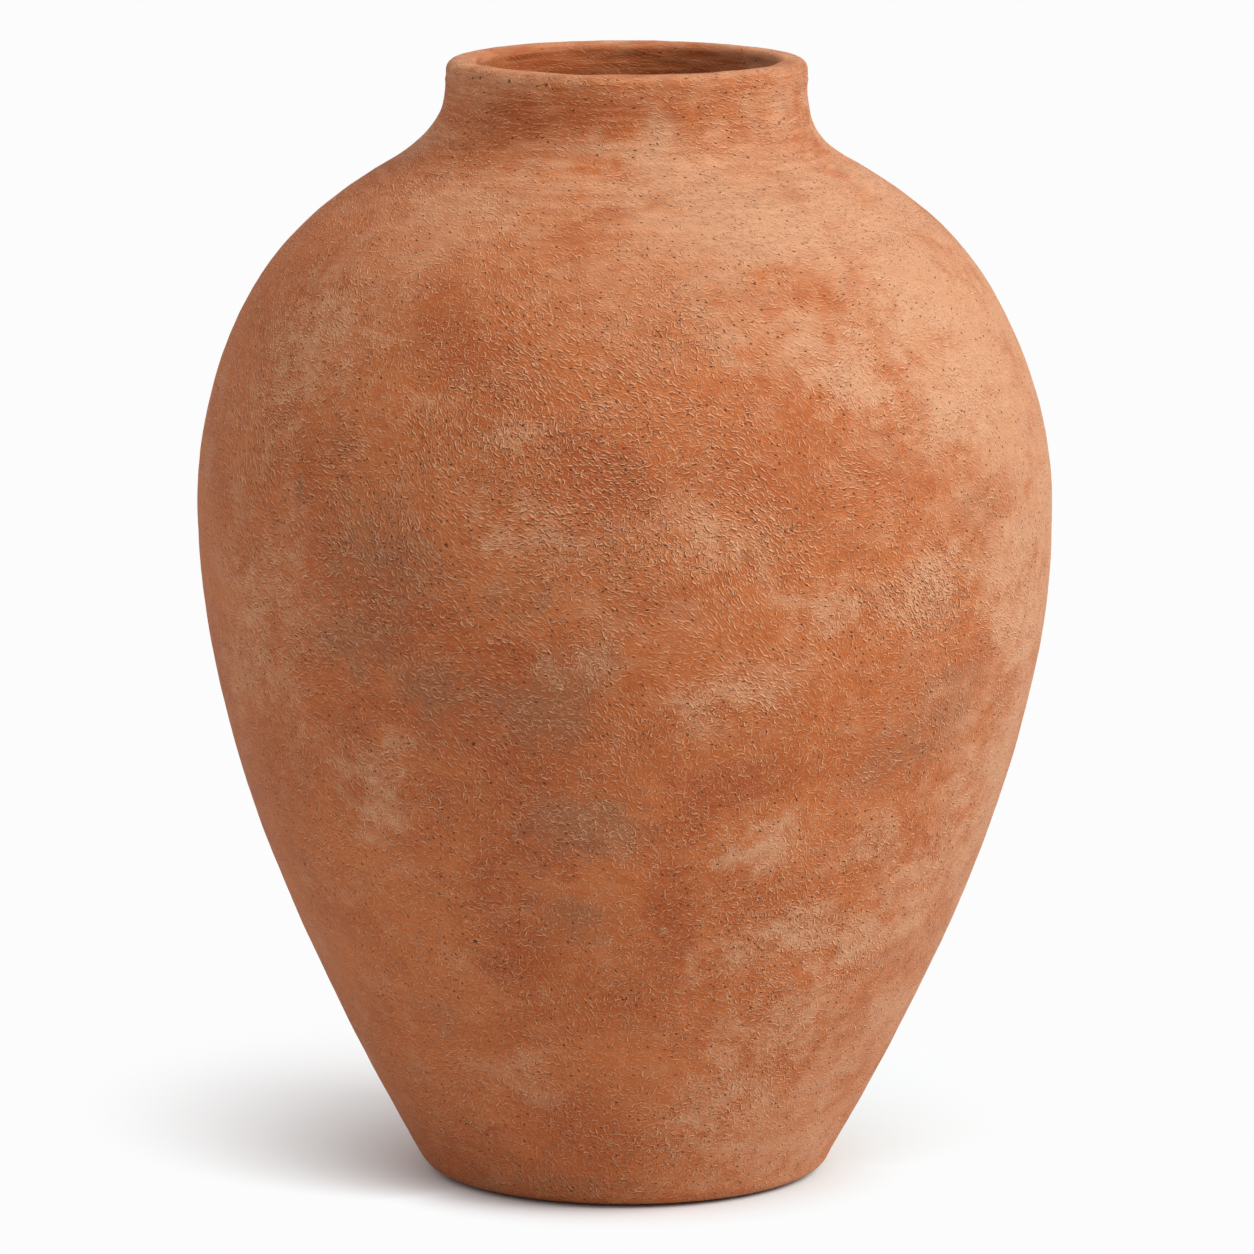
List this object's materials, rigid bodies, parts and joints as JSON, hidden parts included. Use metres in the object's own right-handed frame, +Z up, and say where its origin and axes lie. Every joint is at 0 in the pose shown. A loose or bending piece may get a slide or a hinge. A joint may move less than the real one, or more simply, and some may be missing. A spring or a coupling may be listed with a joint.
{
  "type": "floor vase",
  "caption": "Tall round-bellied unglazed terracotta floor vase with a narrow foot, broad shoulder and short collared mouth, built from keyed thrown sections, lined inside, on felt pads.",
  "frame": {"origin": "on the floor, on the vase's axis, at the underside of the felt pads", "axes": "+Z up along the vase's axis, from foot to mouth; X and Y are alike"},
  "size_m": [0.4562, 0.4562, 0.6],
  "materials": {
    "terracotta": "unglazed, matt, with pale bloom, chaff marks and pinholes",
    "slip": "fired joining slip, matt",
    "lining": "brushed sealing coat, satin",
    "felt": "pressed wool felt"
  },
  "bodies": {
    "root": {"base_disc": "terracotta", "corner_coil": "terracotta", "lower_wall": "terracotta", "belly_wall": "terracotta", "shoulder_wall": "terracotta", "neck_collar": "terracotta", "rim_coil": "terracotta", "base_slip": "slip", "belly_slip": "slip", "shoulder_slip": "slip", "neck_slip": "slip", "rim_slip": "slip", "inner_lining": "lining", "floor_pads": "felt"}
  },
  "joints": []
}
